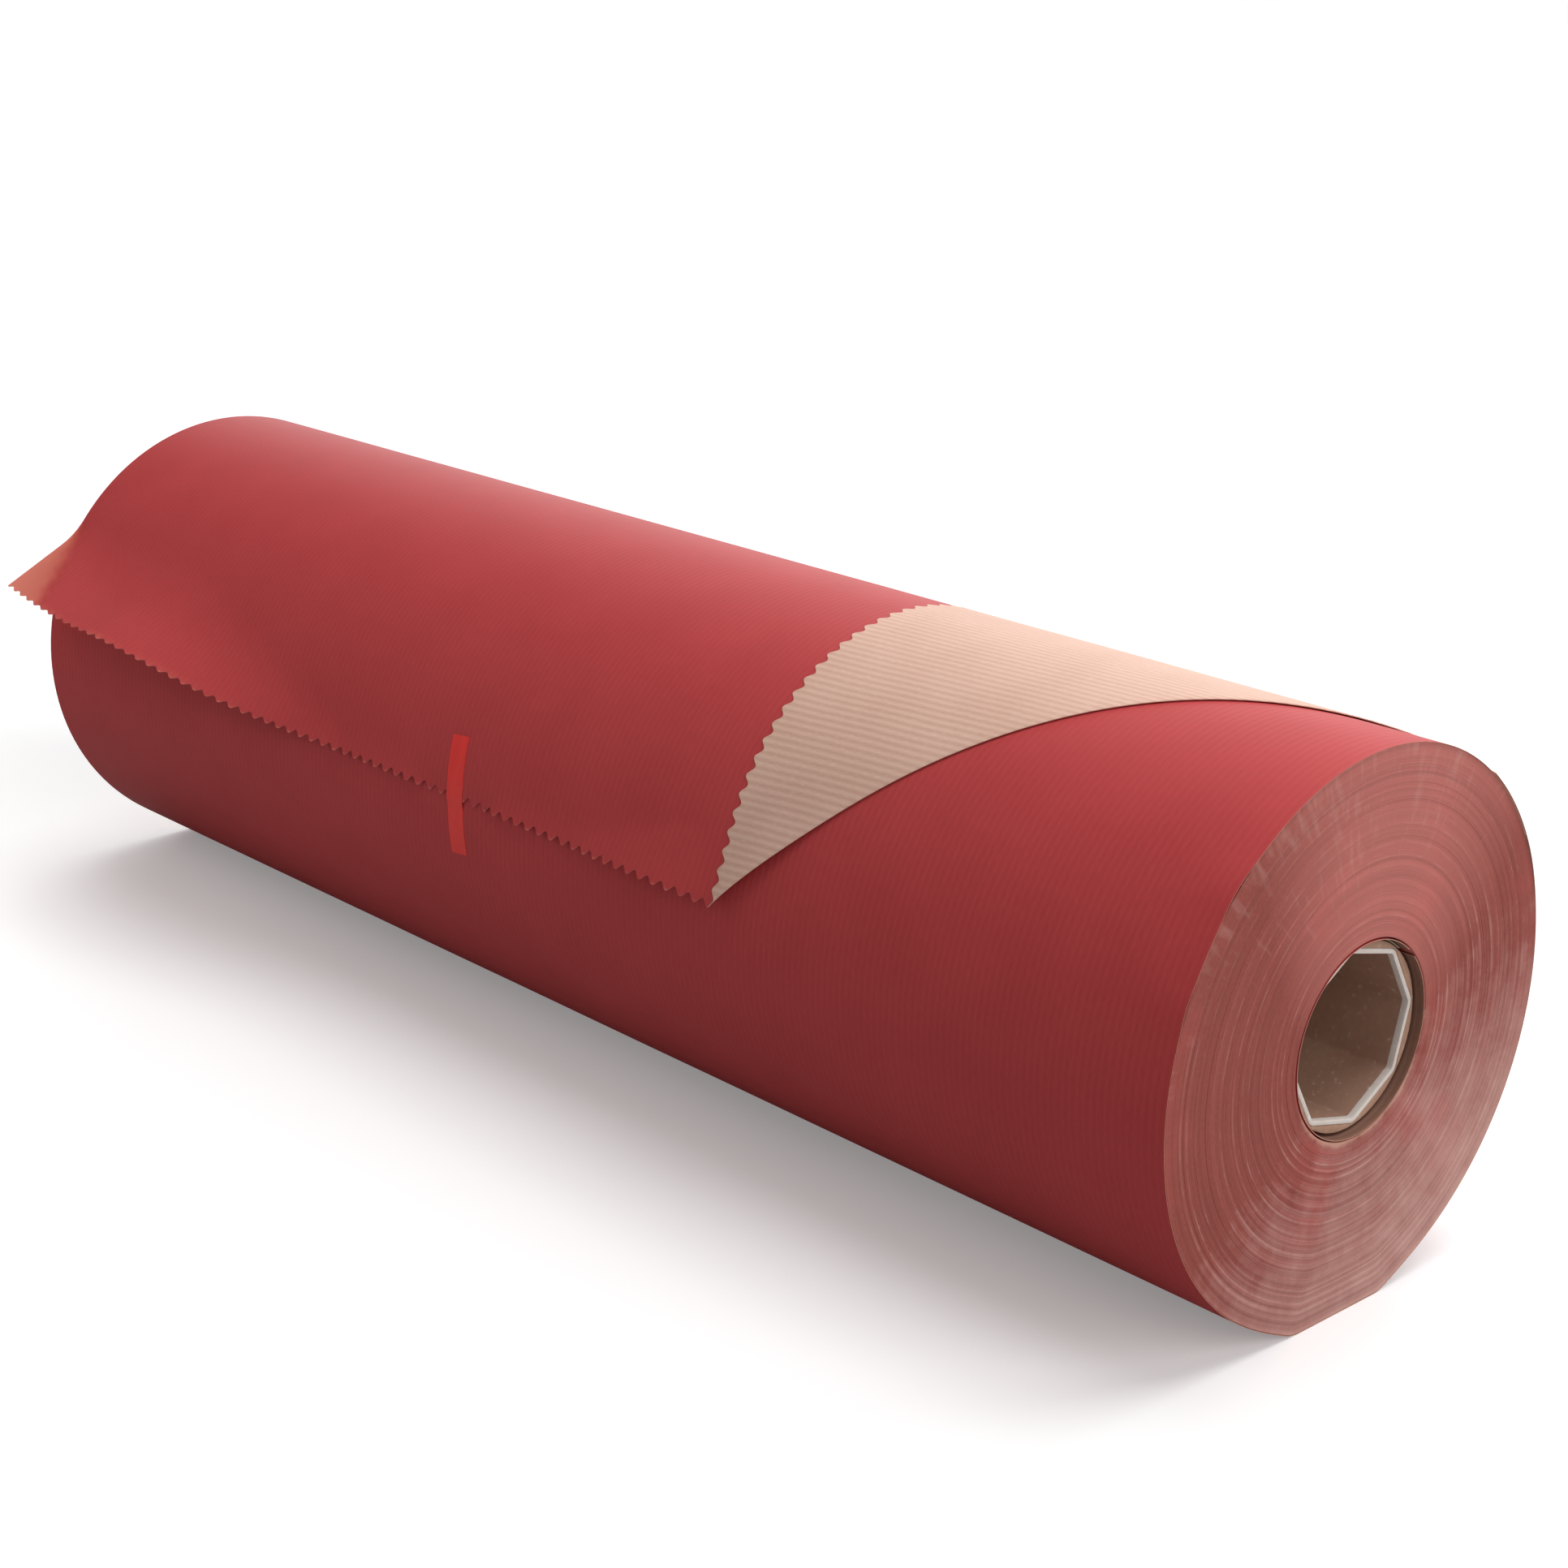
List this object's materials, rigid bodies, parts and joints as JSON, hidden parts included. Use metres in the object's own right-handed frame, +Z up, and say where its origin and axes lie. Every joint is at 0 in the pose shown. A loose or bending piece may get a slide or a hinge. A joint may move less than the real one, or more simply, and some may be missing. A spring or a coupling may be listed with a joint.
{
  "type": "wrapping paper roll",
  "caption": "Counter roll of ribbed red kraft wrapping paper on an eight-sided board core, with a pinked cut edge, a folded-back corner, a loose corner and a closing tape.",
  "frame": {"origin": "middle of the flat that the roll rests on, at mid length", "axes": "+X along the roll to the end with the folded corner, -Y to the front where the cut edge hangs, +Z up"},
  "size_m": [0.5001, 0.17, 0.1516],
  "materials": {
    "liner_board": "matt, light grey cut edge",
    "core_board": "matt brown board",
    "start_strip": "adhesive strip",
    "kraft_reverse": "uncoated ribbed kraft",
    "paper_edges": "matt cut edges of many turns",
    "red_print": "red printed ribbed kraft, slight sheen",
    "red_film": "red adhesive film"
  },
  "bodies": {
    "roll": {"core_liner": "liner_board", "core_tube": "core_board", "start_tape": "start_strip", "first_turn": "kraft_reverse", "wound_paper": "paper_edges", "outer_turn": "red_print", "closing_tape": "red_film"},
    "loose_corner": {"loose_corner": "red_print"},
    "folded_tip": {"folded_tip": "kraft_reverse"}
  },
  "joints": [
    {"name": "loose_corner_lift", "type": "hinge", "parent": "roll", "child": "loose_corner", "pos_m": [-0.22744, -0.07498, 0.11352], "axis": [-0.7093, 0.5645, 0.4223], "range_deg": [-12, 45], "stiffness_Nm_per_rad": 0.005},
    {"name": "folded_tip_lift", "type": "hinge", "parent": "roll", "child": "folded_tip", "pos_m": [0.11541, 0.01945, 0.14899], "axis": [0.6845, 0.7051, -0.1852], "range_deg": [0, 70], "stiffness_Nm_per_rad": 0.005}
  ]
}
